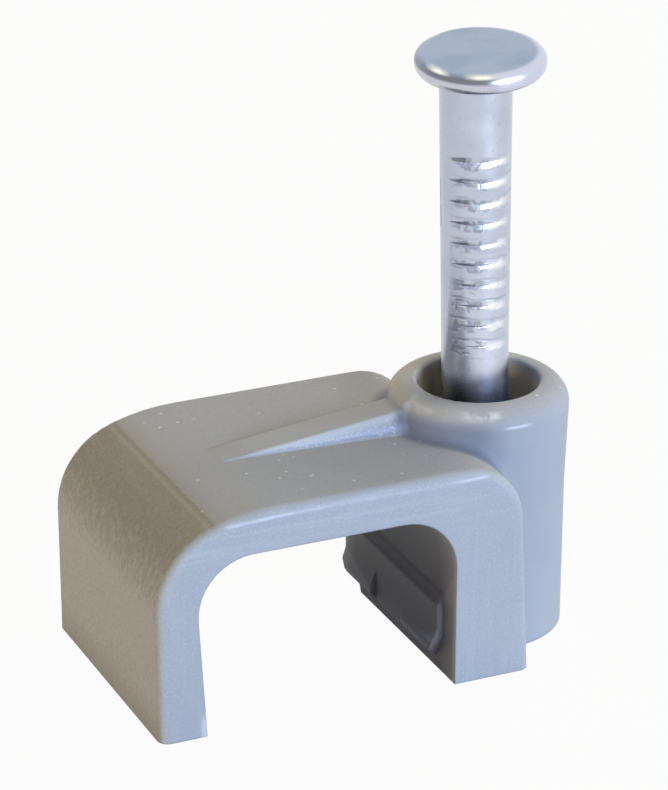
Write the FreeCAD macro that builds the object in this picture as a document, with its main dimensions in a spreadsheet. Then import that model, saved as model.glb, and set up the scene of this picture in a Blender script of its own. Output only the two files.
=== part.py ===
import FreeCAD, Part
import math
import os
import Sketcher

# A nail in cable clip: a moulded saddle with a boss at one side, and the nail that waits in the boss.
# Millimetres. The origin is on the boss's axis, level with the wall that the clip is nailed to.
# +X points from the saddle to the boss, +Y runs along the cable, +Z points away from the wall.

SHEET = "Sizes"

DRIVING_SIZES = [
    # saddle
    ("clip_depth", 8.15),
    ("clip_height", 6.80),
    ("boss_to_outer_face", 11.90),
    ("outer_face_draft", 0.05),
    ("outer_leg_foot", 1.43),
    ("outer_leg_neck", 1.08),
    ("cable_width", 7.87),
    ("roof_thickness", 1.28),
    ("boss_leg_foot", 2.50),
    ("boss_leg_neck", 2.14),
    ("shoulder_slope", 17.0),
    ("shoulder_break_in", 1.83),
    ("shoulder_break_drop", 0.30),
    ("boss_shoulder_radius", 1.90),
    ("channel_corner_radius", 1.70),
    ("front_edge_radius", 0.34),
    ("back_edge_radius", 0.08),
    ("back_inner_radius", 0.45),
    # boss
    ("boss_rise", 1.01),
    ("boss_wall", 0.82),
    ("boss_flare", 0.10),
    ("boss_flare_height", 3.20),
    ("boss_rim_radius", 0.70),
    ("boss_root_radius", 0.30),
    ("bore_radius", 1.84),
    ("bore_depth", 3.58),
    ("bore_seat_angle", 45.0),
    ("bore_rim_radius", 0.13),
    # stiffening rib on the roof
    ("rib_length", 5.85),
    ("rib_below_rim", 0.38),
    ("rib_top_width", 1.04),
    ("rib_side_angle", 33.0),
    # grip pad inside the boss's leg, with a nib at each end
    ("pad_end_margin", 0.82),
    ("pad_proud", 0.20),
    ("pad_top", 2.44),
    ("pad_bottom", 0.34),
    ("pad_corner", 0.62),
    ("pad_end_radius", 0.10),
    ("nib_proud", 0.17),
    ("nib_length", 2.20),
    ("nib_height", 0.26),
    ("nib_ramp", 0.50),
    # chip broken out of the boss leg's foot
    ("chip_length", 1.52),
    ("chip_height", 0.24),
    ("chip_width", 0.85),
    # nail
    ("nail_length", 17.82),
    ("nail_radius", 1.00),
    ("nail_swell", 0.07),
    ("nail_swell_length", 9.50),
    ("nail_clearance", 0.02),
    ("nail_lean", 1.0),
    ("nail_turn", 26.0),
    ("tip_lift", 0.25),
    ("point_length", 2.00),
    ("point_flat_radius", 0.20),
    ("head_radius", 1.92),
    ("head_thickness", 0.62),
    ("head_rim_radius", 0.28),
    ("head_skew", 5.2),
    ("head_offset", 0.13),
    # marks that the heading dies leave on the shank
    ("mark_rows", 10),
    ("mark_pitch", 0.64),
    ("mark_depth", 0.05),
    ("mark_height", 0.36),
    ("mark_wrap", 118.0),
    ("marks_below_head", 2.47),
]

# Places worked out from the driving sizes, as the sheet's formulas.
OUTER_FACE = "(-Sizes.boss_to_outer_face)"
OUTER_FACE_TOP = "(%s - Sizes.outer_face_draft)" % OUTER_FACE
CHANNEL_LEFT = "(%s + Sizes.outer_leg_foot)" % OUTER_FACE
CHANNEL_RIGHT = "(%s + Sizes.cable_width)" % CHANNEL_LEFT
ROOF_END = "(%s + Sizes.boss_leg_neck)" % CHANNEL_RIGHT
ROOF_UNDERSIDE = "(Sizes.clip_height - Sizes.roof_thickness)"
HALF_DEPTH = "(Sizes.clip_depth / 2)"
PAD_HALF = "(%s - Sizes.pad_end_margin)" % HALF_DEPTH
BOSS_RADIUS = "(Sizes.bore_radius + Sizes.boss_wall)"
BOSS_REACH = "(%s + Sizes.boss_flare)" % BOSS_RADIUS
BOSS_TOP = "(Sizes.clip_height + Sizes.boss_rise)"
SEAT_TOP = "(%s - Sizes.bore_depth)" % BOSS_TOP
LEAN_PLAY = "(tan(Sizes.nail_lean) * %s / 2)" % SEAT_TOP
GRIP_RADIUS = "(Sizes.nail_radius + Sizes.nail_clearance + %s)" % LEAN_PLAY
SEAT_BOTTOM = "(%s - (Sizes.bore_radius - %s) * tan(Sizes.bore_seat_angle))" % (SEAT_TOP, GRIP_RADIUS)
HEAD_UNDERSIDE = "(Sizes.nail_length - Sizes.head_thickness)"


def make_sheet(document):
    """The spreadsheet that holds the driving sizes."""
    sheet = document.addObject("Spreadsheet::Sheet", SHEET)
    for row, (name, value) in enumerate(DRIVING_SIZES, start=1):
        sheet.set("A%d" % row, name)
        sheet.set("B%d" % row, str(value))
        sheet.setAlias("B%d" % row, name)
    document.recompute()
    return sheet


def make_body(document, label):
    """An empty body that will be written to the file of its label."""
    body = document.addObject("PartDesign::Body", label)
    body.Label = label
    return body


def origin_feature(body, role):
    """One of the body's own origin planes or axes."""
    return next(item for item in body.Origin.OriginFeatures if item.Role == role)


def sketch_on(body, plane, name, distance=None):
    """A sketch on one of the body's origin planes, or at a distance along that plane's normal."""
    sketch = body.newObject("Sketcher::SketchObject", name)
    sketch.AttachmentSupport = [(origin_feature(body, plane), "")]
    sketch.MapMode = "FlatFace"
    if distance:
        sketch.setExpression("AttachmentOffset.Base.z", distance)
    return sketch


def place_point(sketch, geometry, end, across, up):
    """Hold one end of a line at the two formulas across and up."""
    for direction, formula in (("DistanceX", across), ("DistanceY", up)):
        value = float(sketch.evalExpression(formula))
        constraint = sketch.addConstraint(Sketcher.Constraint(direction, geometry, end, value))
        name = "%s_%d_%d" % (direction, geometry, end)
        sketch.renameConstraint(constraint, name)
        sketch.setExpression("Constraints." + name, formula)


def draw_outline(sketch, corners):
    """A closed outline of straight lines whose corners follow formulas."""
    value = sketch.evalExpression
    points = [FreeCAD.Vector(value(across), value(up), 0) for across, up in corners]
    count = len(corners)
    lines = [Part.LineSegment(points[i], points[(i + 1) % count]) for i in range(count)]
    first = sketch.addGeometry(lines, False)[0]
    for i in range(count):
        sketch.addConstraint(Sketcher.Constraint("Coincident", first + i, 2, first + (i + 1) % count, 1))
        place_point(sketch, first + i, 1, *corners[i])


def add_feature(body, kind, name, profile=None, **sizes):
    """A feature of the body, with its sizes bound to formulas."""
    feature = body.newObject("PartDesign::" + kind, name)
    if profile:
        feature.Profile = profile
        profile.Visibility = False
    for size, formula in sizes.items():
        feature.setExpression(size, formula)
    return feature


def turn_about(feature, axis):
    """Make a revolved feature turn all the way round an axis."""
    feature.ReferenceAxis = axis
    feature.Angle = 360
    feature.Document.recompute()
    return feature


def round_edges(body, name, radius, fits):
    """Round the edges of the body's newest shape that fit."""
    base = body.Tip
    edges = ["Edge%d" % number for number, edge in enumerate(base.Shape.Edges, start=1) if fits(edge)]
    feature = add_feature(body, "Fillet", name, Radius=radius)
    feature.Base = (base, edges)
    body.Document.recompute()
    return feature


def near(one, other):
    """Whether two lengths are the same but for rounding."""
    return abs(one - other) < 1e-4


def runs_along_cable(x, z):
    """A test for the straight edge along Y that passes through x, z."""
    def fits(edge):
        ends = [vertex.Point for vertex in edge.Vertexes]
        return len(ends) == 2 and all(near(end.x, x) and near(end.z, z) for end in ends)
    return fits


def is_full_circle(edge, radius):
    """Whether an edge closes on itself and is as long as the circle of a radius."""
    return len(edge.Vertexes) == 1 and near(edge.Length, 2 * math.pi * radius)


def is_rim(radius, z):
    """A test for the full circle of a radius about the boss's axis at a height."""
    def fits(edge):
        centre = edge.CenterOfGravity
        return is_full_circle(edge, radius) and near(centre.x, 0) and near(centre.z, z)
    return fits


def make_saddle(body):
    """The block of the saddle with its shoulders, before the cable channel is cut."""
    break_z = "(Sizes.clip_height - Sizes.shoulder_break_drop)"
    face_z = "(%s - Sizes.shoulder_break_in * tan(Sizes.shoulder_slope))" % break_z
    roof_x = "(%s + Sizes.shoulder_break_in + Sizes.shoulder_break_drop / tan(Sizes.shoulder_slope))" % (
        OUTER_FACE_TOP)
    sketch = sketch_on(body, "XZ_Plane", "saddle_profile")
    draw_outline(sketch, [
        (OUTER_FACE, "0"),
        (OUTER_FACE_TOP, face_z),
        (roof_x, "Sizes.clip_height"),
        (ROOF_END, "Sizes.clip_height"),
        ("%s + Sizes.boss_leg_foot" % CHANNEL_RIGHT, "0"),
    ])
    saddle = add_feature(body, "Pad", "saddle", sketch, Length="Sizes.clip_depth")
    saddle.Midplane = True
    body.Document.recompute()

    # The two curves of the outer shoulder nearly meet at its break, which shows as a faint line.
    value = body.evalExpression
    top = value("Sizes.clip_height")
    below_break = "(Sizes.shoulder_break_in / cos(Sizes.shoulder_slope))"
    above_break = "(Sizes.shoulder_break_drop / sin(Sizes.shoulder_slope))"
    round_edges(body, "outer_shoulder", "0.97 * %s / tan(45 - Sizes.shoulder_slope / 2)" % below_break,
                runs_along_cable(value(OUTER_FACE_TOP), value(face_z)))
    round_edges(body, "roof_crown", "0.97 * %s / tan(Sizes.shoulder_slope / 2)" % above_break,
                runs_along_cable(value(roof_x), top))
    round_edges(body, "boss_shoulder", "Sizes.boss_shoulder_radius",
                runs_along_cable(value(ROOF_END), top))


def make_boss(body):
    """The post that carries the nail, a little wider towards its rim."""
    sketch = sketch_on(body, "XZ_Plane", "boss_profile")
    draw_outline(sketch, [
        ("0", "0"),
        (BOSS_RADIUS, "0"),
        (BOSS_RADIUS, "%s - Sizes.boss_flare_height" % BOSS_TOP),
        (BOSS_REACH, BOSS_TOP),
        ("0", BOSS_TOP),
    ])
    boss = add_feature(body, "Revolution", "boss", sketch)
    turn_about(boss, (sketch, ["V_Axis"]))
    value = body.evalExpression
    inner = value(BOSS_RADIUS) - 1e-3
    outer = value(BOSS_REACH) + 1e-3

    def on_boss_root(edge):
        ends = [vertex.Point for vertex in edge.Vertexes]
        on_boss = all(inner < math.hypot(end.x, end.y) < outer for end in ends)
        on_foot = all(near(end.z, 0) for end in ends)
        return len(ends) == 2 and on_boss and not on_foot and edge.CenterOfGravity.x < 0

    round_edges(body, "boss_root_round", "Sizes.boss_root_radius", on_boss_root)


def rib_section(body, name, distance, rise):
    """A trapezium across the rib whose top stands at a rise above the roof."""
    root = "Sizes.clip_height - Sizes.roof_thickness / 2"
    half_top = "Sizes.rib_top_width / 2"
    half_root = "%s + (%s + Sizes.roof_thickness / 2) * tan(Sizes.rib_side_angle)" % (half_top, rise)
    sketch = sketch_on(body, "YZ_Plane", name, distance)
    draw_outline(sketch, [
        ("-(%s)" % half_top, "Sizes.clip_height + %s" % rise),
        ("-(%s)" % half_root, root),
        (half_root, root),
        (half_top, "Sizes.clip_height + %s" % rise),
    ])
    return sketch


def make_rib(body):
    """The wedge on the roof that climbs from the saddle to the boss."""
    rise_at_boss = "(Sizes.boss_rise - Sizes.rib_below_rim)"
    rise_inside = "(%s * (1 + Sizes.boss_wall / Sizes.rib_length))" % rise_at_boss
    low = rib_section(body, "rib_low_section", "-%s - Sizes.rib_length" % BOSS_RADIUS, "0")
    high = rib_section(body, "rib_high_section", "-Sizes.bore_radius", rise_inside)
    rib = add_feature(body, "AdditiveLoft", "rib", low)
    rib.Sections = [high]
    rib.Ruled = True
    body.Document.recompute()


def round_outside(body):
    """Soft edges on the saddle's outline and a round on the boss's rim."""
    value = body.evalExpression
    half_depth = value(HALF_DEPTH)
    boss_top = value(BOSS_TOP)
    boss_reach = value(BOSS_REACH)

    def on_outline(face_y):
        def fits(edge):
            ends = [vertex.Point for vertex in edge.Vertexes]
            on_foot = all(near(end.z, 0) for end in ends)
            return all(near(end.y, face_y) for end in ends) and not on_foot
        return fits

    round_edges(body, "rim_round", "Sizes.boss_rim_radius", is_rim(boss_reach, boss_top))
    round_edges(body, "front_round", "Sizes.front_edge_radius", on_outline(-half_depth))
    round_edges(body, "back_round", "Sizes.back_edge_radius", on_outline(half_depth))


def cut_channel(body):
    """The channel that the cable lies in, open towards the wall, which also trims the boss's side."""
    sketch = sketch_on(body, "XZ_Plane", "channel_profile")
    draw_outline(sketch, [
        (CHANNEL_LEFT, "0"),
        ("%s + Sizes.outer_leg_neck" % OUTER_FACE, ROOF_UNDERSIDE),
        (CHANNEL_RIGHT, ROOF_UNDERSIDE),
        (CHANNEL_RIGHT, "0"),
    ])
    channel = add_feature(body, "Pocket", "channel", sketch, Length="Sizes.clip_depth * 2")
    channel.Midplane = True
    body.Document.recompute()
    value = body.evalExpression
    underside = value(ROOF_UNDERSIDE)
    wall_x = value(CHANNEL_RIGHT)
    half_depth = value(HALF_DEPTH)
    round_edges(body, "outer_channel_corner", "Sizes.channel_corner_radius",
                runs_along_cable(value("%s + Sizes.outer_leg_neck" % OUTER_FACE), underside))
    round_edges(body, "boss_channel_corner", "Sizes.channel_corner_radius",
                runs_along_cable(wall_x, underside))

    def on_back_inner_edge(edge):
        ends = [vertex.Point for vertex in edge.Vertexes]
        return len(ends) == 2 and all(near(end.x, wall_x) and near(end.y, half_depth) for end in ends)

    round_edges(body, "channel_back_round", "Sizes.back_inner_radius", on_back_inner_edge)


def make_bore(body):
    """The bore that takes the nail's shank, with a narrow grip hole below a conical seat."""
    sketch = sketch_on(body, "XZ_Plane", "bore_profile")
    draw_outline(sketch, [
        ("0", "0"),
        (GRIP_RADIUS, "0"),
        (GRIP_RADIUS, SEAT_BOTTOM),
        ("Sizes.bore_radius", SEAT_TOP),
        ("Sizes.bore_radius", BOSS_TOP),
        ("0", BOSS_TOP),
    ])
    bore = add_feature(body, "Groove", "bore", sketch)
    turn_about(bore, (sketch, ["V_Axis"]))
    value = body.evalExpression
    round_edges(body, "bore_rim_round", "Sizes.bore_rim_radius",
                is_rim(value("Sizes.bore_radius"), value(BOSS_TOP)))


def make_grip_pad(body):
    """The low pad inside the boss's leg that holds the cable, with a nib at each end."""
    wall = CHANNEL_RIGHT
    face = "(%s - Sizes.pad_proud)" % wall
    root = "(%s + Sizes.pad_proud)" % wall
    nib_face = "(%s - Sizes.nib_proud)" % face
    low = "(Sizes.pad_bottom + Sizes.pad_proud)"
    nib_low = "(%s + Sizes.nib_proud)" % low
    nib_top = "(%s + Sizes.nib_height)" % nib_low

    pad_sketch = sketch_on(body, "XZ_Plane", "grip_pad_profile")
    draw_outline(pad_sketch, [
        (root, "Sizes.pad_bottom"),
        (root, "Sizes.pad_top"),
        (wall, "Sizes.pad_top"),
        (face, "Sizes.pad_top - Sizes.pad_proud"),
        (face, low),
        (wall, "Sizes.pad_bottom"),
    ])
    pad = add_feature(body, "Pad", "grip_pad", pad_sketch, Length="%s * 2" % PAD_HALF)
    pad.Midplane = True
    body.Document.recompute()

    nib_sketch = sketch_on(body, "XZ_Plane", "nib_profile", PAD_HALF)
    draw_outline(nib_sketch, [
        (wall, low),
        (wall, "%s + Sizes.nib_ramp" % nib_top),
        (face, "%s + Sizes.nib_ramp" % nib_top),
        (nib_face, nib_top),
        (nib_face, nib_low),
        (face, low),
    ])
    nib = add_feature(body, "Pad", "front_nib", nib_sketch, Length="Sizes.nib_length")
    nib.Reversed = True
    body.Document.recompute()
    nibs = body.newObject("PartDesign::Mirrored", "both_nibs")
    nibs.Originals = [nib]
    nibs.MirrorPlane = (origin_feature(body, "XZ_Plane"), [""])
    body.Tip = nibs
    body.Document.recompute()

    corner_sketch = sketch_on(body, "YZ_Plane", "pad_corner_profile", wall)
    draw_outline(corner_sketch, [
        ("-%s - Sizes.pad_proud" % PAD_HALF, "Sizes.pad_bottom - Sizes.pad_proud"),
        ("-%s + Sizes.pad_corner" % PAD_HALF, "Sizes.pad_bottom - Sizes.pad_proud"),
        ("-%s + Sizes.pad_corner * 0.45" % PAD_HALF, "%s + Sizes.pad_corner * 0.25" % low),
        ("-%s" % PAD_HALF, "%s + Sizes.pad_corner" % low),
        ("-%s - Sizes.pad_proud" % PAD_HALF, "%s + Sizes.pad_corner" % low),
    ])
    corner = add_feature(body, "Pocket", "front_pad_corner", corner_sketch,
                         Length="(Sizes.pad_proud + Sizes.nib_proud) * 2")
    body.Document.recompute()
    corners = body.newObject("PartDesign::Mirrored", "both_pad_corners")
    corners.Originals = [corner]
    corners.MirrorPlane = (origin_feature(body, "XZ_Plane"), [""])
    body.Tip = corners
    body.Document.recompute()

    value = body.evalExpression
    half_length = value(PAD_HALF)
    wall_x = value(wall)

    def on_pad_end(edge):
        ends = [vertex.Point for vertex in edge.Vertexes]
        flat = all(near(abs(end.y), half_length) for end in ends)
        return flat and edge.CenterOfGravity.x < wall_x - 1e-4

    round_edges(body, "pad_end_round", "Sizes.pad_end_radius", on_pad_end)


def chip_foot(body):
    """The shallow chip that is missing from the back of the boss leg's inner foot."""
    sketch = sketch_on(body, "YZ_Plane", "chip_profile", CHANNEL_RIGHT)
    draw_outline(sketch, [
        (HALF_DEPTH, "0"),
        (HALF_DEPTH, "Sizes.chip_height"),
        ("%s - Sizes.chip_length + Sizes.chip_height / 2" % HALF_DEPTH, "Sizes.chip_height"),
        ("%s - Sizes.chip_length" % HALF_DEPTH, "0"),
    ])
    chip = add_feature(body, "Pocket", "chip", sketch, Length="Sizes.chip_width")
    chip.Reversed = True
    body.Document.recompute()


def make_clip_body(document):
    """The whole moulding."""
    body = make_body(document, "clip_body")
    make_saddle(body)
    make_boss(body)
    make_rib(body)
    round_outside(body)
    cut_channel(body)
    make_grip_pad(body)
    chip_foot(body)
    make_bore(body)
    return body


def make_shank(body):
    """The nail's point and shank, a little thicker towards the head."""
    sketch = sketch_on(body, "XZ_Plane", "shank_profile")
    draw_outline(sketch, [
        ("0", "0"),
        ("Sizes.point_flat_radius", "0"),
        ("Sizes.nail_radius", "Sizes.point_length"),
        ("Sizes.nail_radius", "%s - Sizes.nail_swell_length" % HEAD_UNDERSIDE),
        ("Sizes.nail_radius + Sizes.nail_swell", HEAD_UNDERSIDE),
        ("Sizes.nail_radius + Sizes.nail_swell", "%s + Sizes.head_thickness / 2" % HEAD_UNDERSIDE),
        ("0", "%s + Sizes.head_thickness / 2" % HEAD_UNDERSIDE),
    ])
    shank = add_feature(body, "Revolution", "shank", sketch)
    turn_about(shank, (sketch, ["V_Axis"]))


def make_head(body):
    """The flat head with its rounded rim, pressed on slightly askew."""
    sketch = sketch_on(body, "XY_Plane", "head_circle", HEAD_UNDERSIDE)
    sketch.setExpression("AttachmentOffset.Base.x", "Sizes.head_offset")
    sketch.setExpression("AttachmentOffset.Rotation", "rotation(vector(1; 0; 0); Sizes.head_skew)")
    radius = float(sketch.evalExpression("Sizes.head_radius"))
    circle = sketch.addGeometry(Part.Circle(FreeCAD.Vector(0, 0, 0), FreeCAD.Vector(0, 0, 1), radius))
    sketch.addConstraint(Sketcher.Constraint("Coincident", circle, 3, -1, 1))
    constraint = sketch.addConstraint(Sketcher.Constraint("Radius", circle, radius))
    sketch.renameConstraint(constraint, "head_radius")
    sketch.setExpression("Constraints.head_radius", "Sizes.head_radius")
    head = add_feature(body, "Pad", "head", sketch, Length="Sizes.head_thickness")
    body.Document.recompute()

    round_edges(body, "head_rim_round", "Sizes.head_rim_radius",
                lambda edge: is_full_circle(edge, radius))


def mark_groove(body, name, side):
    """One shallow mark that fades out round the shank, on the side -1 or 1 of Y."""
    height = "(%s - Sizes.marks_below_head)" % HEAD_UNDERSIDE
    off_axis = "(Sizes.mark_depth / (1 - cos(Sizes.mark_wrap / 2)))"
    swell = "(Sizes.nail_swell * (1 - Sizes.marks_below_head / Sizes.nail_swell_length))"
    surface = "(Sizes.nail_radius + %s)" % swell
    inner = "(%d * (%s - Sizes.mark_depth))" % (side, surface)
    outer = "(%d * (%s + Sizes.mark_depth))" % (side, surface)
    axis_place = "(%d * -1 * %s)" % (side, off_axis)
    sketch = sketch_on(body, "YZ_Plane", name + "_profile")
    draw_outline(sketch, [
        (inner, height),
        (outer, "%s - Sizes.mark_height" % height),
        (outer, "%s + Sizes.mark_height" % height),
    ])
    across = float(sketch.evalExpression(axis_place))
    low = FreeCAD.Vector(across, 0, 0)
    high = FreeCAD.Vector(across, float(sketch.evalExpression(height)), 0)
    axis = sketch.addGeometry(Part.LineSegment(low, high), True)
    place_point(sketch, axis, 1, axis_place, "0")
    place_point(sketch, axis, 2, axis_place, height)
    groove = add_feature(body, "Groove", name, sketch)
    return turn_about(groove, (sketch, ["Axis0"]))


def mark_shank(body):
    """Rows of die marks on the two opposite sides of the shank."""
    marks = [mark_groove(body, "front_mark", -1), mark_groove(body, "back_mark", 1)]
    rows = add_feature(body, "LinearPattern", "mark_rows", Occurrences="Sizes.mark_rows",
                       Offset="Sizes.mark_pitch")
    rows.Originals = marks
    rows.Direction = (origin_feature(body, "Z_Axis"), [""])
    rows.Reversed = True
    rows.Mode = "Spacing"
    body.Tip = rows
    body.Document.recompute()


def make_nail(document):
    """The hardened nail, which leans a little in its grip hole."""
    body = make_body(document, "masonry_nail")
    make_shank(body)
    make_head(body)
    mark_shank(body)
    pivot = "(%s / 2)" % SEAT_BOTTOM
    below_pivot = "(%s - Sizes.tip_lift)" % pivot
    place = "vector(sin(Sizes.nail_lean) * %s; 0; %s - cos(Sizes.nail_lean) * %s)" % (
        below_pivot, pivot, below_pivot)
    turn = "rotation(vector(0; 1; 0); -Sizes.nail_lean) * rotation(vector(0; 0; 1); -Sizes.nail_turn)"
    body.setExpression("Placement", "placement(%s; %s)" % (place, turn))
    document.recompute()
    return body


def check_model(document, bodies):
    """Stop if any object failed or a piece isn't one whole solid."""
    for item in document.Objects:
        failed = [state for state in item.State if state in ("Invalid", "Error")]
        if failed:
            raise RuntimeError("%s is %s" % (item.Name, failed[0]))
    for body in bodies:
        shape = body.Shape
        if shape.isNull() or not shape.isValid() or len(shape.Solids) != 1:
            raise RuntimeError("%s isn't one valid solid" % body.Label)


def main():
    document = FreeCAD.newDocument("nail_in_cable_clip")
    make_sheet(document)
    bodies = [make_clip_body(document), make_nail(document)]
    document.recompute()
    check_model(document, bodies)
    os.makedirs("parts", exist_ok=True)
    for body in bodies:
        body.Shape.exportStep("parts/%s.step" % body.Label)
        box = body.Shape.BoundBox
        print("%-14s %8.3f mm3  X %.3f %.3f  Y %.3f %.3f  Z %.3f %.3f" % (
            body.Label, body.Shape.Volume, box.XMin, box.XMax, box.YMin, box.YMax, box.ZMin, box.ZMax))


main()
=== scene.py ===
import functools
import math

import bpy
from mathutils import Matrix, Vector


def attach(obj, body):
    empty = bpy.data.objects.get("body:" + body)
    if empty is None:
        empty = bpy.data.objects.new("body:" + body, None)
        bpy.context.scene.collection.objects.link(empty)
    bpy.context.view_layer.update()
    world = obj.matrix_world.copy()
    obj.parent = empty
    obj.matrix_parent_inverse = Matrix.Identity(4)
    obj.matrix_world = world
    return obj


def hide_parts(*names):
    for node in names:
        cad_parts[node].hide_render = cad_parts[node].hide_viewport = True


# A nail in cable clip on a plain white floor, seen from the front left and a little above.
# Lengths are in metres, in the frame of the CAD model: +X from the saddle to the boss, +Z away from the wall.

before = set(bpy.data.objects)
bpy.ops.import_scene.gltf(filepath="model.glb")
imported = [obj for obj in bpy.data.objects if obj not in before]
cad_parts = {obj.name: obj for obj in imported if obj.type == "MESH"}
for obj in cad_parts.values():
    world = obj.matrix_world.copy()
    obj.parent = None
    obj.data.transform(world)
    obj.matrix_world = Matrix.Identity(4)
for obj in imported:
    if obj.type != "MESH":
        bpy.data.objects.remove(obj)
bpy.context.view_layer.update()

MM = 0.001

# Places on the clip, in millimetres. The crease is where the outer shoulder meets the roof, and the worn front
# edge, with its painted highlight, drops a little from the middle of the beam to the crease. The root is the
# boss's, where it meets the roof.
FRONT_Y = -4.00
BACK_Y = 4.00
CREASE_X = -10.07
OUTER_LEG_X = -10.90
WORN_HIGHLIGHT_Z = 6.55
WORN_HIGHLIGHT_DROP = 0.10
RIB_START_X = -8.51
RIB_END_X = -2.90
RIB_HALF_WIDTH = 0.52
RIB_FOOT_Z = 6.82
CHANNEL_WALL_X = -2.62
PAD_TOP_Z = 2.56
BORE_RADIUS = 1.86
RIM_RADIUS = 2.50
ROOT_RADIUS = 2.84

# Places on the nail, in millimetres. The marks face a direction turned by MARK_TURN; the head's centre is the
# middle of its top, and HEAD_UP is the direction that the skewed top faces.
FIRST_MARK_Z = 15.0
LAST_MARK_Z = 8.95
MARK_PITCH = 0.64
MARK_TURN = math.radians(24.5)
NECK_Z = 17.4
HEAD_CENTRE = Vector((-0.193, -0.107, 18.067))
HEAD_UP = Vector((-0.0571, -0.0815, 0.9950)).normalized()

# The plastic: its edges look rounded by EDGE_RADIUS millimetres. The dust specks are cells of a pattern.
EDGE_RADIUS = 0.09
PLASTIC_SPECULAR = 0.20
SPECK_SCALE = 2000
SPECK_SIZE = 0.15

# How the rib is softened: lengths in millimetres, angles in degrees.
WELD = 0.001
FLAT_ANGLE = 0.5
START_REACH = 0.012
RIB_BEVEL_PERCENT = 12
RIB_BEVEL_STEPS = 4
SMOOTH_ANGLE = 24

# Patterns: the noise's scale per metre and its detail, and how the place is stretched along X, Y and Z.
PATTERNS = {
    "cloudy": (260, 4, (1, 1, 1)),
    "grain": (15000, 2, (1, 1, 0.7)),
    "coarse": (5200, 3, (1, 1, 0.75)),
    "drag": (6500, 2, (0.04, 1, 1)),
    "streaks": (5200, 2, (1, 1, 0.07)),
    "sparkle": (14000, 1, (1, 1, 1)),
    "edge patches": (5200, 3, (0.4, 1, 1)),
    "left patches": (3000, 2, (0.5, 1, 1)),
    "glint patches": (2600, 3, (1, 1, 1)),
    "mottle": (600, 4, (1, 1, 1)),
    "fine": (4200, 3, (1, 1, 1)),
    "drawn lines": (6000, 2, (1, 1, 0.06)),
    "row wander": (1500, 3, (1, 1, 0.3)),
    "loops": (2000, 2, (1, 1, 0.8)),
    "head clouds": (900, 2, (0.5, 1, 1)),
}

# Tints: a colour as it looks on a screen, 0 to 255, and how strongly it covers what is under it.
TINTS = {
    "grain": ((151, 155, 163), 1.0),
    "crease shadow": ((122, 118, 106), 0.45),
    "crease light": ((160, 157, 147), 0.35),
    "painted shade beside the crease": ((146, 143, 134), 0.8),
    "painted ripple shade": ((126, 122, 110), 0.32),
    "painted ripple highlights": ((168, 164, 154), 0.32),
    "outer leg's foot": ((128, 125, 112), 0.6),
    "specks": ((222, 221, 216), 0.52),
    "beam streaks": ((186, 190, 198), 0.22),
    "leg streaks": ((182, 186, 196), 0.10),
    "painted shadow at rib foot": ((118, 126, 146), 1.0),
    "sparkle": ((200, 204, 214), 0.22),
    "flash": ((206, 208, 210), 0.6),
    "worn edge and painted highlight": ((208, 212, 222), 1.0),
    "painted corner shade": ((86, 94, 112), 0.75),
    "boss shade": ((112, 120, 138), 0.40),
    "painted rim highlight": ((212, 216, 228), 0.55),
    "painted rim glints": ((222, 221, 216), 0.50),
    "rib top": ((165, 166, 168), 1.0),
    "painted light on rib's near edge": ((192, 195, 203), 0.5),
    "painted light on rib's far side": ((182, 180, 174), 0.8),
    "painted light on rim's back": ((204, 203, 199), 0.9),
    "painted light on rim's left": ((172, 169, 162), 0.6),
    "painted shadow over the pad": ((74, 72, 74), 0.55),
    "zinc grain": ((168, 176, 192), 1.0),
    "painted shade on zinc's left": ((160, 168, 182), 1.0),
    "painted light on head's upper rim": ((212, 214, 232), 1.0),
    "painted dark band on head's rim": ((112, 113, 117), 0.85),
    "painted pale band on head's rim": ((206, 206, 214), 0.85),
    "painted shade on head's lower edge": ((118, 130, 152), 0.75),
    "painted glints on head's rim": ((255, 253, 242), 1.0),
    "mark scrapes": ((104, 116, 142), 0.52),
    "mark lips": ((124, 134, 156), 0.40),
    "painted highlights on mark flats": ((248, 250, 255), 0.75),
}

# The light and the camera. The photograph's size, focal length and centre are in pixels, and its camera's
# azimuth, elevation and roll in degrees.
LIT_MIDDLE = Vector((-0.005, 0, 0.006))
WORLD_LEVEL = 0.08
WORLD_COLOUR = (0.95, 0.97, 1.0, 1)
FLOOR_SIZE = 3.0
FLOOR_COLOUR = (0.45, 0.42, 0.38, 1)
FLOOR_DROP = 0.005
FLOOR_GLOW_SHARE = 0.96
WHITE = (1, 1, 1, 1)
PHOTO_SIZE = (668, 790)
PHOTO_FOCAL = 3715.107
PHOTO_CENTRE = (345.374, 395.902)
PHOTO_ANGLES = (24.541, 23.519, 0.344)
CAMERA_PLACE = (-0.04586, -0.09094, 0.051458)


def linear(red, green, blue):
    """A colour given as it looks on a screen, 0 to 255, as the light values that Blender works in."""
    def channel(value):
        value /= 255
        return value / 12.92 if value <= 0.04045 else ((value + 0.055) / 1.055) ** 2.4
    return (channel(red), channel(green), channel(blue), 1)


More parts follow.
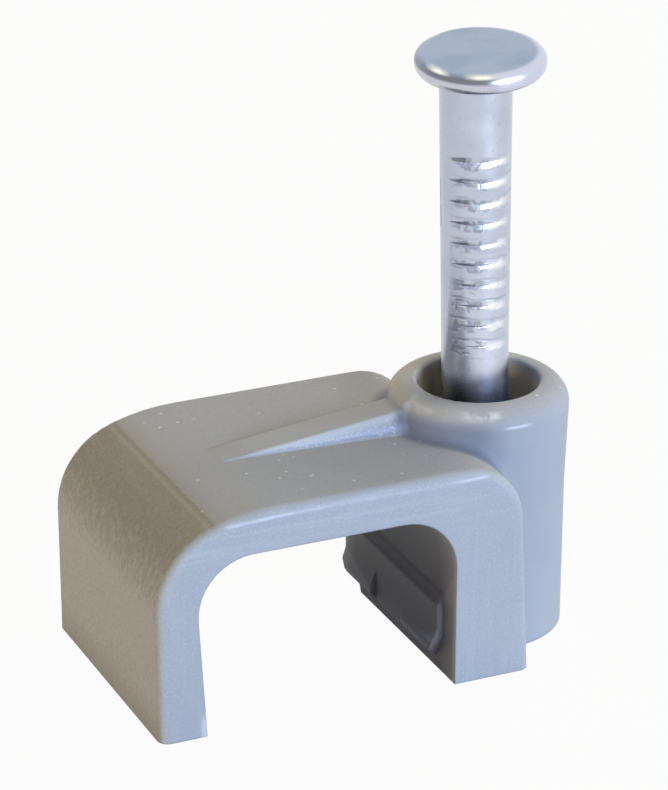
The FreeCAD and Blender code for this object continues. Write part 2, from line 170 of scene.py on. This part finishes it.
class Nodes:
    """Adds the nodes of one material or world and joins them."""

    def __init__(self, holder, output="OutputMaterial"):
        holder.use_nodes = True
        self.tree = holder.node_tree
        self.tree.nodes.clear()
        self.output = self.add(output)

    @functools.cached_property
    def place(self):
        """The place on the piece."""
        return self.add("TexCoord").outputs["Object"]

    def add(self, kind, **settings):
        node = self.tree.nodes.new("ShaderNode" + kind)
        for name, value in settings.items():
            setattr(node, name, value)
        return node

    def join(self, source, target):
        self.tree.links.new(source, target)

    def finish(self, shader):
        self.join(shader.outputs[0], self.output.inputs["Surface"])

    def set(self, socket, value):
        """Set an input to a number or a colour, or feed it from another node."""
        if isinstance(value, bpy.types.NodeSocket):
            self.join(value, socket)
        else:
            socket.default_value = value

    def put(self, node, **inputs):
        """Set or feed inputs by their names, with _ for a space."""
        for name, value in inputs.items():
            self.set(node.inputs[name.replace("_", " ")], value)
        return node

    def mapped(self, scale=(1, 1, 1), turn=(0, 0, 0), shift=(0, 0, 0)):
        """The place on the piece, stretched, turned and shifted."""
        mapping = self.put(self.add("Mapping"), Location=shift, Vector=self.place, Scale=scale, Rotation=turn)
        return mapping.outputs["Vector"]

    def pattern(self, name, turn=(0, 0, 0)):
        """One of the PATTERNS, a noise between 0 and 1."""
        scale, detail, stretch = PATTERNS[name]
        node = self.put(self.add("TexNoise"), Vector=self.mapped(stretch, turn), Scale=scale, Detail=detail,
                        Roughness=0.55)
        return node.outputs["Fac"]

    def spots(self, scale, size):
        """Scattered small dots: 1 in the middle of a dot and 0 outside."""
        node = self.put(self.add("TexVoronoi"), Vector=self.place, Scale=scale)
        return self.ramp(node.outputs["Distance"], size * 0.4, size, 1, 0)

    def split(self, where):
        """The three parts of a place."""
        node = self.add("SeparateXYZ")
        self.join(where, node.inputs[0])
        return node.outputs[0], node.outputs[1], node.outputs[2]

    def maths(self, operation, first, second=0.0):
        node = self.add("Math", operation=operation)
        self.set(node.inputs[0], first)
        self.set(node.inputs[1], second)
        return node.outputs["Value"]

    def product(self, *factors):
        return functools.reduce(lambda first, second: self.maths("MULTIPLY", first, second), factors)

    def largest(self, *values):
        return functools.reduce(lambda first, second: self.maths("MAXIMUM", first, second), values)

    def distance(self, value, centre):
        return self.maths("ABSOLUTE", self.maths("SUBTRACT", value, centre))

    def length(self, first, second):
        squares = self.maths("ADD", self.product(first, first), self.product(second, second))
        return self.maths("SQRT", squares)

    def ramp(self, value, low, high, start=0.0, end=1.0):
        """From the start to the end while the value goes from low to high, and level beyond them."""
        node = self.put(self.add("MapRange"), Value=value, From_Min=low, From_Max=high, To_Min=start, To_Max=end)
        return node.outputs["Result"]

    def rise(self, value, low, high, start=0.0, end=1.0):
        """A ramp between two places in millimetres."""
        return self.ramp(value, low * MM, high * MM, start, end)

    def around(self, value, centre, outer, inner, start=0.0, end=1.0):
        """The end within the inner distance from a centre, and the start beyond the outer one."""
        return self.ramp(self.distance(value, centre), outer, inner, start, end)

    def near(self, value, centre, outer, inner, start=0.0, end=1.0):
        """The same in millimetres."""
        return self.around(value, centre * MM, outer * MM, inner * MM, start, end)

    def flipped(self, value):
        return self.ramp(value, 0, 1, 1, 0)

    def blend(self, amount, first, second):
        node = self.add("Mix", data_type="RGBA")
        self.put(node, Factor=amount)
        for name, value in (("A", first), ("B", second)):
            self.set(next(item for item in node.inputs if item.name == name and item.type == "RGBA"), value)
        return next(item for item in node.outputs if item.type == "RGBA")

    def tint(self, base, name, *masks):
        """Lay one of the TINTS over the base where all the masks hold."""
        colour, strength = TINTS[name]
        return self.blend(self.product(*masks, strength), base, linear(*colour))

    def bump(self, height, distance, strength=1.0, normal=None):
        """A relief whose full height is the distance in millimetres, laid over another normal if one is given."""
        node = self.put(self.add("Bump"), Height=height, Distance=distance * MM, Strength=strength)
        if normal:
            self.put(node, Normal=normal)
        return node.outputs["Normal"]

    def seen(self):
        """1 where a surface is seen, straight or in a reflection, and 0 where it only lights the others."""
        rays = self.add("LightPath").outputs
        return self.largest(*(rays[f"Is {kind} Ray"] for kind in ("Camera", "Glossy", "Transmission")))

    def mix_shaders(self, amount, first, second):
        mixed = self.add("MixShader")
        for socket, source in zip(mixed.inputs, (amount, first.outputs[0], second.outputs[0])):
            self.join(source, socket)
        return mixed


class ClipPlaces:
    """Masks that say where each finish of the clip lies. Bare numbers in them are millimetres."""

    def __init__(self, n):
        across, along, up = self.across, self.along, self.up = n.split(n.place)
        self.radius = n.length(across, along)
        self.cloudy, self.grain, self.coarse = (n.pattern(name) for name in ("cloudy", "grain", "coarse"))

        self.on_front = n.rise(along, FRONT_Y + 0.10, FRONT_Y)
        self.behind_front = n.product(n.rise(along, FRONT_Y - 0.02, FRONT_Y + 0.20),
                                      n.rise(along, BACK_Y + 0.04, BACK_Y - 0.04))
        outside = n.largest(n.rise(across, OUTER_LEG_X, OUTER_LEG_X - 0.10), n.rise(up, 5.55, 5.70))
        self.textured = n.product(n.rise(across, CREASE_X + 0.02, CREASE_X - 0.02), self.behind_front, outside)
        self.on_beam = n.product(self.on_front, n.rise(up, 5.1, 5.6))
        self.on_legs = n.product(self.on_front, n.rise(up, 5.4, 4.8))
        off_boss_side = n.largest(n.rise(self.radius, 2.75, 3.0), n.rise(up, 7.25, 7.65))
        self.on_roof = n.product(n.rise(up, 6.3, 6.7), self.behind_front, off_boss_side)
        self.ripples = n.product(n.near(up, 4.7, 1.2, 0.5, 0.25, 1), self.textured)
        self.rib_side = n.product(n.rise(along, -0.50, -0.56), n.rise(along, -1.15, -1.05),
                                  n.rise(up, RIB_FOOT_Z, RIB_FOOT_Z + 0.06),
                                  n.rise(across, RIB_END_X, RIB_END_X - 0.1))


def shoulder_and_roof(n, at, base):
    """The coarse outer shoulder in painted shade, its crease with painted shadow and light, and the smoother roof,
    painted greyer, with its dust.
    """
    face_tone = n.blend(n.ramp(at.grain, 0.40, 0.62), linear(157, 156, 154), linear(148, 147, 144))
    # Painted shade: the upper shoulder is painted darker and browner than the outer face below it.
    shaded_shoulder_tone = n.blend(n.ramp(at.grain, 0.40, 0.62), linear(138, 135, 126), linear(129, 126, 116))
    roof_light_tone = n.blend(n.ramp(at.grain, 0.4, 0.65), linear(157, 157, 158), linear(151, 151, 151))
    base = n.blend(at.textured, base, n.blend(n.rise(at.up, 3.9, 5.6), face_tone, shaded_shoulder_tone))

    high = n.rise(at.up, 5.5, 5.8)
    crease_shadow = n.product(n.near(at.across, CREASE_X + 0.02, 0.13, 0.03), high, at.behind_front)
    base = n.tint(base, "crease shadow", crease_shadow)
    crease_light = n.product(n.near(at.across, CREASE_X - 0.20, 0.08, 0.02), at.textured, high)
    base = n.tint(base, "crease light", crease_light)

    # Painted light: the roof is painted greyer than the bluer front, more so away from the crease.
    inward = n.rise(at.across, CREASE_X - 0.05, CREASE_X + 0.6, 0, 0.8)
    base = n.blend(n.product(at.on_roof, inward), base, roof_light_tone)
    # Painted shade on the roof just beside the crease, fading towards the middle.
    shade_beside_crease = n.product(n.rise(at.across, CREASE_X + 0.7, CREASE_X), n.flipped(at.textured),
                              at.behind_front, n.rise(at.up, 6.0, 6.2))
    base = n.tint(base, "painted shade beside the crease", shade_beside_crease)

    # Painted shade and painted highlights on the ripples of the lower shoulder.
    base = n.tint(base, "painted ripple shade", n.ramp(at.coarse, 0.52, 0.60), at.ripples)
    base = n.tint(base, "painted ripple highlights", n.ramp(at.coarse, 0.46, 0.38), at.ripples)
    base = n.tint(base, "outer leg's foot", n.rise(at.up, 1.15, 0.15), at.textured)
    specks = n.product(n.spots(SPECK_SCALE, SPECK_SIZE), n.ramp(at.cloudy, 0.47, 0.50))
    return n.tint(base, "specks", specks, n.ramp(at.on_roof, 0, 1, 0.04, 1))


def front(n, at, base, drag):
    """The front's streaks and painted sparkle glints, the rib's near side painted lighter with a painted shadow at
    its foot, the flash and the worn upper edge with its painted highlight.
    """
    base = n.tint(base, "beam streaks", n.ramp(drag, 0.46, 0.66), at.on_beam)
    base = n.tint(base, "leg streaks", n.ramp(n.pattern("streaks"), 0.46, 0.66), at.on_legs)

    # Painted light: the rib's near side is painted lighter and bluer, darker towards the boss.
    lit_rib_side_tone = n.blend(n.rise(at.across, -6.0, -3.0), linear(178, 184, 198), linear(148, 158, 180))
    base = n.blend(n.product(at.rib_side, 0.9), base, lit_rib_side_tone)
    # Painted shadow: a dark line along the foot of the rib's near side.
    rib_foot_shadow = n.product(n.near(at.up, RIB_FOOT_Z + 0.055, 0.065, 0.025), at.rib_side)
    base = n.tint(base, "painted shadow at rib foot", rib_foot_shadow, n.rise(at.across, -7.6, -6.6, 0, 0.45))
    # Painted glints: small light specks on the front and on the rib's near side.
    sparkling = n.largest(at.on_front, n.product(at.rib_side, 2.2))
    base = n.tint(base, "sparkle", n.ramp(n.pattern("sparkle"), 0.54, 0.70), sparkling)
    flash = n.product(n.near(at.across, -10.54, 0.17, 0.07), n.rise(at.up, 0.85, 0.45), at.on_front)
    base = n.tint(base, "flash", flash)

    # The worn upper front edge with a painted highlight along it, in patches, stronger at both ends.
    crest = n.rise(at.across, CREASE_X, -8.4, (WORN_HIGHLIGHT_Z - WORN_HIGHLIGHT_DROP) * MM, WORN_HIGHLIGHT_Z * MM)
    edge_height = n.near(n.maths("SUBTRACT", at.up, crest), 0, 0.065, 0.015)
    along_beam = n.product(n.rise(at.across, -10.1, -9.7), n.rise(at.across, -1.3, -1.6))
    right_end = n.near(at.across, -2.1, 0.80, 0.30, 0, 0.5)
    left_end = n.product(n.near(at.across, -8.6, 2.2, 1.1, 0, 0.55),
                         n.ramp(n.pattern("left patches"), 0.40, 0.56, 0.35, 1))
    patchy = n.largest(n.ramp(n.pattern("edge patches"), 0.50, 0.62, 0, 0.26), right_end, left_end)
    return n.tint(base, "worn edge and painted highlight", edge_height, along_beam, at.on_front, patchy)


def boss(n, at, base):
    """Painted shade beside the boss, and a painted highlight line and painted glints on its rim."""
    # Painted shade in the corner where the boss meets the roof.
    root_shade = n.product(n.near(at.radius, ROOT_RADIUS, 0.42, 0.06), n.rise(at.up, 5.6, 6.3),
                       n.rise(at.up, 7.70, 7.20), n.rise(at.across, -0.2, -1.2))
    base = n.tint(base, "painted corner shade", root_shade)
    shade = n.product(n.rise(at.across, 1.2, -1.6), n.rise(at.radius, 3.05, 2.90),
                      n.rise(at.up, 7.55, 7.15), n.rise(at.along, 1.0, 0.2))
    base = n.tint(base, "boss shade", shade)
    # A painted highlight line on the boss under the rim.
    rim_highlight = n.product(n.near(at.up, 7.28, 0.055, 0.020), n.near(at.across, 0, 0.50, 0.25),
                         n.rise(at.along, -1.4, -1.6), n.rise(at.radius, 2.9, 2.8))
    base = n.tint(base, "painted rim highlight", rim_highlight)
    # Painted glints in two places on the rim's front.
    two_glints = n.largest(n.near(at.across, -1.0, 0.70, 0.40), n.near(at.across, -2.32, 0.26, 0.14))
    rim_glints = n.product(n.near(at.radius, RIM_RADIUS, 0.15, 0.04), n.rise(at.up, 7.3, 7.4),
                           n.rise(at.along, -0.35, -0.55), n.ramp(n.pattern("glint patches"), 0.44, 0.56), two_glints)
    return n.tint(base, "painted rim glints", rim_glints)


def rib_and_inside(n, at, base):
    """The rib's paler top and painted light on its edges, painted light and shade in the bore, painted light on
    the rim, and painted shade on the channel wall and over the pad.
    """
    # The rib's top is painted paler, more so towards the boss.
    rib_top = n.product(n.near(at.along, 0, RIB_HALF_WIDTH + 0.04, RIB_HALF_WIDTH - 0.02),
                        n.rise(at.up, RIB_FOOT_Z + 0.02, RIB_FOOT_Z + 0.10), n.rise(at.across, -2.7, -3.0))
    base = n.tint(base, "rib top", rib_top, n.rise(at.across, -8.4, -6.6, 0.1, 0.9))
    # A painted highlight along the rib's near upper edge.
    near_edge_light = n.product(n.near(at.along, -0.55, 0.13, 0.03), n.rise(at.up, RIB_FOOT_Z + 0.04, RIB_FOOT_Z + 0.13),
                          n.rise(at.across, RIB_END_X, RIB_END_X - 0.2), n.rise(at.across, -8.2, -7.2))
    base = n.tint(base, "painted light on rib's near edge", near_edge_light)
    # Painted light on the rib's far side.
    far_side_light = n.product(n.near(at.along, 0.82, 0.34, 0.28), n.rise(at.up, RIB_FOOT_Z, RIB_FOOT_Z + 0.06),
                         n.rise(at.across, RIB_END_X, RIB_END_X - 0.1))
    base = n.tint(base, "painted light on rib's far side", far_side_light)

    # Painted light and shade in the bore: darker and browner on the left, lighter on the right.
    bore_light_and_shade = n.blend(n.rise(at.across, -1.2, 1.2), linear(122, 113, 100), linear(190, 174, 142))
    inside = n.product(n.rise(at.radius, BORE_RADIUS + 0.10, BORE_RADIUS), n.rise(at.up, 7.75, 7.45),
                       n.rise(at.up, 2.0, 3.0))
    base = n.blend(n.product(inside, 0.9), base, bore_light_and_shade)
    # Painted light on the rim's top at the back right and on the left.
    rim_top = n.product(n.rise(at.up, 7.35, 7.6), n.rise(at.radius, BORE_RADIUS - 0.02, BORE_RADIUS + 0.09))
    base = n.tint(base, "painted light on rim's back", rim_top, n.rise(at.along, 0.8, 1.7), n.rise(at.across, 0, 1.0))
    base = n.tint(base, "painted light on rim's left", rim_top, n.rise(at.across, -0.6, -1.6))

    # Painted shade: the channel wall is painted darker, darkest below the pad's top and weaker towards the back.
    shaded_wall_tone = n.blend(n.rise(at.up, 2.3, 2.6), linear(118, 113, 113), linear(136, 132, 133))
    wall = n.product(n.near(at.across, CHANNEL_WALL_X, 0.40, 0.34), n.near(at.along, 0, 3.98, 3.80),
                     n.rise(at.up, 5.0, 4.4), n.rise(at.along, 3.6, 1.5, 0.3, 1))
    base = n.blend(n.product(wall, 0.8), base, shaded_wall_tone)
    # A painted shadow line along the top of the pad.
    pad_shadow = n.product(n.near(at.across, CHANNEL_WALL_X + 0.07, 0.32, 0.26), n.near(at.along, 0, 3.4, 3.1),
                        n.near(at.up, PAD_TOP_Z, 0.16, 0.04))
    return n.tint(base, "painted shadow over the pad", pad_shadow)


def clip_plastic():
    """Moulded grey plastic: coarse on the outer shoulder, smoother on the roof, worn along the front edge where a
    highlight is painted too, with light and shade painted into its colour in many other places.
    """
    material = bpy.data.materials.new("clip_plastic")
    n = Nodes(material)
    at = ClipPlaces(n)
    drag = n.pattern("drag")

    base = n.blend(n.ramp(at.cloudy, 0.35, 0.65), linear(156, 160, 168), linear(161, 165, 173))
    base = n.tint(base, "grain", n.ramp(at.grain, 0.45, 0.7, 0, 0.25))
    base = shoulder_and_roof(n, at, base)
    base = front(n, at, base, drag)
    base = boss(n, at, base)
    base = rib_and_inside(n, at, base)

    rounded = n.put(n.add("Bevel", samples=6), Radius=EDGE_RADIUS * MM)
    relief = n.bump(at.grain, 0.010, 0.35, rounded.outputs["Normal"])
    relief = n.bump(n.product(at.grain, at.textured), 0.016, 0.8, relief)
    relief = n.bump(n.product(at.coarse, at.ripples), 0.045, 0.8, relief)
    relief = n.bump(n.product(drag, at.on_beam), 0.014, 0.5, relief)
    n.finish(n.put(n.add("BsdfPrincipled"), Base_Color=base, Roughness=n.ramp(at.grain, 0.3, 0.7, 0.52, 0.62),
                   Specular_IOR_Level=PLASTIC_SPECULAR, Normal=relief))
    return material


def head_painted_light_and_shade(n, base):
    """Painted light and shade round the head's rim: a light band fading to the left, a dark band on the left with
    two painted glints above it, a pale band under it and a dark lower edge.
    """
    to_back = HEAD_UP.cross(Vector((math.cos(MARK_TURN), -math.sin(MARK_TURN), 0))).normalized()
    axes = Matrix((to_back.cross(HEAD_UP), to_back, HEAD_UP))
    in_head = n.mapped(turn=axes.to_euler(), shift=-(axes @ HEAD_CENTRE) * MM)
    across, along, up = n.split(in_head)
    on_rim = n.product(n.rise(n.length(across, along), 1.58, 1.68), n.rise(up, -0.66, -0.62))

    def band(depth, reach, blur):
        """A band round the rim, at a depth under the head's top."""
        return n.product(n.near(up, -depth, reach + blur, reach), on_rim)

    left_part = n.rise(across, 0.55, 0.15)
    # Painted light and shade round the head's rim, in bands by depth under the top.
    base = n.tint(base, "painted light on head's upper rim", band(0.24, 0.22, 0.08), n.ramp(left_part, 0, 1, 0.9, 0))
    base = n.tint(base, "painted dark band on head's rim", band(0.16, 0.06, 0.09), left_part, n.rise(across, -1.8, -1.3, 0.5, 1))
    base = n.tint(base, "painted pale band on head's rim", band(0.37, 0.09, 0.08), left_part)
    base = n.tint(base, "painted shade on head's lower edge", band(0.58, 0.04, 0.06))
    # Painted glints: two bright places near the top of the head's rim.
    head_glints = n.largest(n.near(across, -1.25, 0.36, 0.05), n.near(across, 0, 0.55, 0.12))
    return n.tint(base, "painted glints on head's rim", head_glints, band(0.055, 0.015, 0.05))


def nail_zinc():
    """Zinc plating: cool and smooth on the head, with uneven die marks on two sides of the shank, painted
    highlights on the marks' flats, painted shade on the shank's left and low in the bore, and painted light and
    shade round the head's rim.
    """
    material = bpy.data.materials.new("nail_zinc")
    n = Nodes(material)
    mottle, fine = n.pattern("mottle"), n.pattern("fine")
    across, _, up = n.split(n.mapped(turn=(0, 0, MARK_TURN)))

    # The die marks: how far down its own row each place is, with rows that wander a little.
    up_wandering = n.maths("ADD", up, n.ramp(n.pattern("row wander"), 0, 1, -0.16 * MM, 0.16 * MM))
    below_first = n.maths("SUBTRACT", (FIRST_MARK_Z + 0.4 * MARK_PITCH) * MM, up_wandering)
    in_row = n.maths("FRACT", n.maths("DIVIDE", below_first, MARK_PITCH * MM))
    on_marks = n.product(n.rise(up, LAST_MARK_Z - 0.2, LAST_MARK_Z), n.rise(up, FIRST_MARK_Z + 0.2, FIRST_MARK_Z))

    loops = n.product(n.around(n.pattern("loops"), 0.5, 0.085, 0.020), n.around(in_row, 0.50, 0.36, 0.26))
    core = n.product(n.around(in_row, 0.52, 0.13, 0.04), n.ramp(fine, 0.42, 0.56))
    left_half = n.product(n.rise(across, -0.95, -0.75), n.rise(across, 0.18, -0.02))
    scrape = n.product(n.largest(loops, core), left_half, on_marks)
    lip = n.product(n.around(in_row, 0.12, 0.09, 0.03), n.near(across, 0, 0.95, 0.75), on_marks,
                    n.ramp(mottle, 0.42, 0.60))
    # Painted highlights on the flat right-hand sides of the die marks.
    from_flat = n.maths("ADD", n.distance(in_row, 0.48), n.ramp(fine, 0, 1, -0.12, 0.12))
    right_half = n.product(n.rise(across, 0.14, 0.34), n.rise(across, 0.78, 0.58))
    flat = n.product(n.ramp(from_flat, 0.24, 0.10), right_half, on_marks)

    base = n.blend(n.ramp(mottle, 0.35, 0.68), linear(188, 196, 211), linear(206, 212, 224))
    base = n.tint(base, "zinc grain", n.ramp(fine, 0.55, 0.75, 0, 0.3))
    # Painted shade: the shank's left side is painted darker.
    base = n.tint(base, "painted shade on zinc's left", n.rise(across, -0.35, -1.0, 0, 0.45))
    head_clouds = n.ramp(n.pattern("head clouds", (0, 0, MARK_TURN)), 0.45, 0.62)
    head_tone = n.blend(head_clouds, linear(160, 173, 193), linear(148, 162, 184))
    base = n.blend(n.rise(up, NECK_Z - 0.1, NECK_Z), base, head_tone)
    base = head_painted_light_and_shade(n, base)
    # Painted shade and a painted blue reflection low on the shank, in the bore: darker on the left, blue on the
    # right.
    painted_low_shade = n.blend(n.rise(across, -0.5, 0.2), linear(112, 118, 127), linear(104, 146, 222))
    base = n.blend(n.rise(up, 8.4, 7.4, 0, 0.75), base, painted_low_shade)
    base = n.tint(base, "mark scrapes", scrape)
    base = n.tint(base, "mark lips", lip)
    base = n.tint(base, "painted highlights on mark flats", flat)

    on_shank = n.rise(up, NECK_Z + 0.2, NECK_Z + 0.1)
    relief = n.bump(n.product(n.pattern("drawn lines"), on_shank), 0.006, 0.5)
    relief = n.bump(n.flipped(n.largest(scrape, lip)), 0.010, 0.4, relief)
    n.finish(n.put(n.add("BsdfPrincipled"), Base_Color=base, Metallic=1.0,
                   Roughness=n.ramp(mottle, 0.3, 0.7, 0.22, 0.30), Normal=relief))
    return material


def dress(node, material):
    """Give a CAD node its finish."""
    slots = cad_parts[node].data.materials
    slots.clear()
    slots.append(material)


def fade_rib_start(clip):
    """Lower the points at the rib's start to the roof and weld them."""
    bpy.ops.object.mode_set(mode="EDIT")
    bpy.ops.mesh.select_all(action="SELECT")
    bpy.ops.mesh.remove_doubles(threshold=WELD * MM)
    bpy.ops.mesh.dissolve_limited(angle_limit=math.radians(FLAT_ANGLE))
    bpy.ops.mesh.select_all(action="DESELECT")
    bpy.ops.object.mode_set(mode="OBJECT")
    start = [point for point in clip.data.vertices
             if abs(point.co.x - RIB_START_X * MM) < START_REACH * MM
             and abs(point.co.y) < (RIB_HALF_WIDTH + 0.08) * MM and point.co.z > (RIB_FOOT_Z - 0.12) * MM]
    roof_level = min(point.co.z for point in start)
    for point in start:
        point.co.z = roof_level
        point.select = True
    bpy.ops.object.mode_set(mode="EDIT")
    bpy.ops.mesh.remove_doubles(threshold=START_REACH * MM)
    bpy.ops.mesh.select_all(action="DESELECT")
    bpy.ops.object.mode_set(mode="OBJECT")


def round_rib_edges(clip):
    """Round the two long upper edges of the rib."""
    points = clip.data.vertices
    slack = 0.02 * MM
    for edge in clip.data.edges:
        one, other = (points[number].co for number in edge.vertices)
        on_top = min(one.z, other.z) > (RIB_FOOT_Z - 0.04) * MM
        at_side = abs(one.y - other.y) < slack and abs(abs(one.y) - RIB_HALF_WIDTH * MM) < slack
        edge.select = on_top and at_side and (one - other).length > 5 * MM
    bpy.ops.object.mode_set(mode="EDIT")
    bpy.ops.mesh.select_mode(type="EDGE")
    bpy.ops.mesh.bevel(offset_type="PERCENT", offset_pct=RIB_BEVEL_PERCENT, segments=RIB_BEVEL_STEPS,
                       clamp_overlap=True)
    bpy.ops.object.mode_set(mode="OBJECT")


def soft_rib_clip(material):
    """The clip with its rib's start faded into the roof and its rib's upper edges rounded."""
    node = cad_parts["clip_body"]
    clip = bpy.data.objects.new("clip_moulding", node.data.copy())
    bpy.context.scene.collection.objects.link(clip)
    bpy.ops.object.select_all(action="DESELECT")
    clip.select_set(True)
    bpy.context.view_layer.objects.active = clip
    fade_rib_start(clip)
    round_rib_edges(clip)
    bpy.ops.object.shade_smooth_by_angle(angle=math.radians(SMOOTH_ANGLE))
    clip.data.materials.clear()
    clip.data.materials.append(material)
    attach(clip, "root")
    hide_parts("clip_body")


def white_floor():
    """A wide pale floor that keeps a faint shadow and looks white."""
    bpy.ops.object.select_all(action="DESELECT")
    bpy.ops.mesh.primitive_plane_add(size=FLOOR_SIZE, location=(0, 0, -FLOOR_DROP * MM))
    floor = bpy.context.object
    floor.name = "floor"
    material = bpy.data.materials.new("white_floor")
    n = Nodes(material)
    matt = n.put(n.add("BsdfDiffuse"), Color=FLOOR_COLOUR)
    glow = n.put(n.add("Emission"), Color=WHITE, Strength=1.0)
    n.finish(n.mix_shaders(n.product(n.seen(), FLOOR_GLOW_SHARE), matt, glow))
    floor.data.materials.append(material)


def white_world():
    """A white background, also in reflections, and an even soft light from all round."""
    world = bpy.data.worlds.new("studio")
    bpy.context.scene.world = world
    n = Nodes(world, "OutputWorld")
    light = n.put(n.add("Background"), Color=WORLD_COLOUR, Strength=WORLD_LEVEL)
    background = n.put(n.add("Background"), Color=WHITE, Strength=1.0)
    n.finish(n.mix_shaders(n.seen(), light, background))


def soft_lamp(name, place, size, level, colour, mirrored=True):
    """A square lamp that faces the clip; level 1 lights a facing surface to its own colour."""
    away = Vector(place) - LIT_MIDDLE
    lamp = bpy.data.lights.new(name, "AREA")
    lamp.shape = "SQUARE"
    lamp.size = size
    lamp.color = colour
    lamp.energy = level * math.pi ** 2 * away.length_squared
    holder = bpy.data.objects.new(name, lamp)
    holder.rotation_euler = away.to_track_quat("Z", "Y").to_euler()
    holder.location = place
    holder.visible_glossy = mirrored
    bpy.context.scene.collection.objects.link(holder)


def photo_camera():
    """The camera at the photograph's place, worked out from the clip's straight edges and circles."""
    width, height = PHOTO_SIZE
    centre_x, centre_y = PHOTO_CENTRE
    azimuth, elevation, roll = (math.radians(angle) for angle in PHOTO_ANGLES)
    ahead = Vector((math.sin(azimuth) * math.cos(elevation), math.cos(azimuth) * math.cos(elevation),
                    -math.sin(elevation)))
    right = Vector((math.cos(azimuth), -math.sin(azimuth), 0))
    upward = right.cross(ahead)
    rolled_right = math.cos(roll) * right + math.sin(roll) * upward
    rolled_up = math.cos(roll) * upward - math.sin(roll) * right
    camera = bpy.data.cameras.new("photo_camera")
    camera.sensor_width = 36
    camera.lens = PHOTO_FOCAL * camera.sensor_width / height
    camera.shift_x = (width / 2 - centre_x) / height
    camera.shift_y = (centre_y - height / 2) / height
    camera.clip_start = 0.005
    camera.clip_end = 10
    holder = bpy.data.objects.new("photo_camera", camera)
    turn = Matrix((rolled_right, rolled_up, -ahead)).transposed()
    holder.matrix_world = Matrix.Translation(CAMERA_PLACE) @ turn.to_4x4()
    bpy.context.scene.collection.objects.link(holder)
    bpy.context.scene.camera = holder


soft_rib_clip(clip_plastic())
dress("masonry_nail", nail_zinc())

white_floor()
white_world()
soft_lamp("key_front", (0.10, -0.34, 0.07), 0.22, 1.76, (0.66, 0.79, 1.0))
soft_lamp("fill_left", (-0.34, 0.01, 0.03), 0.12, 0.92, (1.0, 0.87, 0.68), mirrored=False)
soft_lamp("top", (0.19, 0.10, 0.28), 0.25, 0.89, (1.0, 0.92, 0.74), mirrored=False)
photo_camera()

scene = bpy.context.scene
scene.view_settings.view_transform = "Standard"
